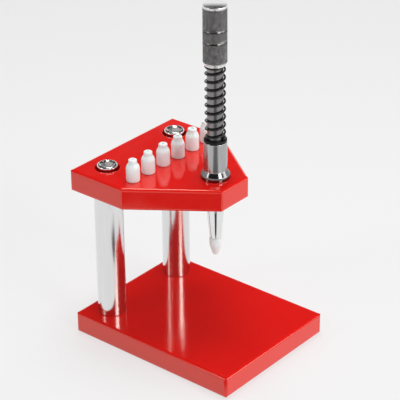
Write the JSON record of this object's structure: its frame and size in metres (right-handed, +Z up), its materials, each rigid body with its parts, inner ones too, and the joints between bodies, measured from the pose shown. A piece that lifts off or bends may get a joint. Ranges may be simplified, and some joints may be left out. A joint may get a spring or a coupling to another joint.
{
  "type": "watch hand press",
  "caption": "Bench press for fitting watch hands: a sprung, knurled plunger slides in a guide bush on a pillar-mounted top plate above a flat base, with spare nylon dies stored on pegs.",
  "frame": {"origin": "middle of the base's underside, on the surface that the press stands on", "axes": "+Z up along the plunger and pillars, +Y from the plunger at the front to the pillars at the back, +X to the right"},
  "size_m": [0.075, 0.095, 0.1761],
  "materials": {
    "red_lacquer": "glossy red lacquer with rounded edges",
    "chrome": "polished chrome plate",
    "screw_chrome": "nickel plated, lightly brushed",
    "ground_steel": "centreless ground, fine ring marks",
    "grip_steel": "dark steel, diamond knurl, bright crests",
    "spring_steel": "black oiled spring wire",
    "black_washer": "matt black",
    "nylon": "translucent white nylon, turned"
  },
  "bodies": {
    "frame": {"base_plate": "red_lacquer", "top_plate": "red_lacquer", "left_pillar": "chrome", "right_pillar": "chrome", "top_screws": "screw_chrome", "base_screws": "screw_chrome", "guide_bush": "chrome", "seat_washer": "black_washer", "return_spring": "spring_steel", "die_peg_1": "ground_steel", "die_peg_2": "ground_steel", "die_peg_3": "ground_steel", "die_peg_4": "ground_steel", "die_peg_5": "ground_steel", "die_peg_6": "ground_steel"},
    "spring_cap": {"top_washer": "chrome"},
    "plunger": {"spindle_rod": "ground_steel", "spindle_nose": "chrome", "grip": "grip_steel"},
    "fitted_die": {"fitted_die": "nylon"},
    "stored_die_1": {"die_1": "nylon"},
    "stored_die_2": {"die_2": "nylon"},
    "stored_die_3": {"die_3": "nylon"},
    "stored_die_4": {"die_4": "nylon"},
    "stored_die_5": {"die_5": "nylon"},
    "stored_die_6": {"die_6": "nylon"}
  },
  "joints": [
    {"name": "plunger_slide", "type": "slide", "parent": "frame", "child": "spring_cap", "axis": [0, 0, -1], "range_m": [0, 0.022], "stiffness_N_per_m": 1210, "springref_m": -0.005, "deforming": ["return_spring"]},
    {"name": "plunger_turn", "type": "hinge", "parent": "spring_cap", "child": "plunger", "pos_m": [0, -0.011, 0.1475], "axis": [0, 0, 1], "continuous": true},
    {"name": "fitted_die_pull", "type": "slide", "parent": "plunger", "child": "fitted_die", "axis": [0, 0, -1], "range_m": [0, 0.008]},
    {"name": "die_1_lift", "type": "slide", "parent": "frame", "child": "stored_die_1", "axis": [0, 0, 1], "range_m": [0, 0.008]},
    {"name": "die_2_lift", "type": "slide", "parent": "frame", "child": "stored_die_2", "axis": [0, 0, 1], "range_m": [0, 0.008]},
    {"name": "die_3_lift", "type": "slide", "parent": "frame", "child": "stored_die_3", "axis": [0, 0, 1], "range_m": [0, 0.008]},
    {"name": "die_4_lift", "type": "slide", "parent": "frame", "child": "stored_die_4", "axis": [0, 0, 1], "range_m": [0, 0.008]},
    {"name": "die_5_lift", "type": "slide", "parent": "frame", "child": "stored_die_5", "axis": [0, 0, 1], "range_m": [0, 0.008]},
    {"name": "die_6_lift", "type": "slide", "parent": "frame", "child": "stored_die_6", "axis": [0, 0, 1], "range_m": [0, 0.008]}
  ]
}
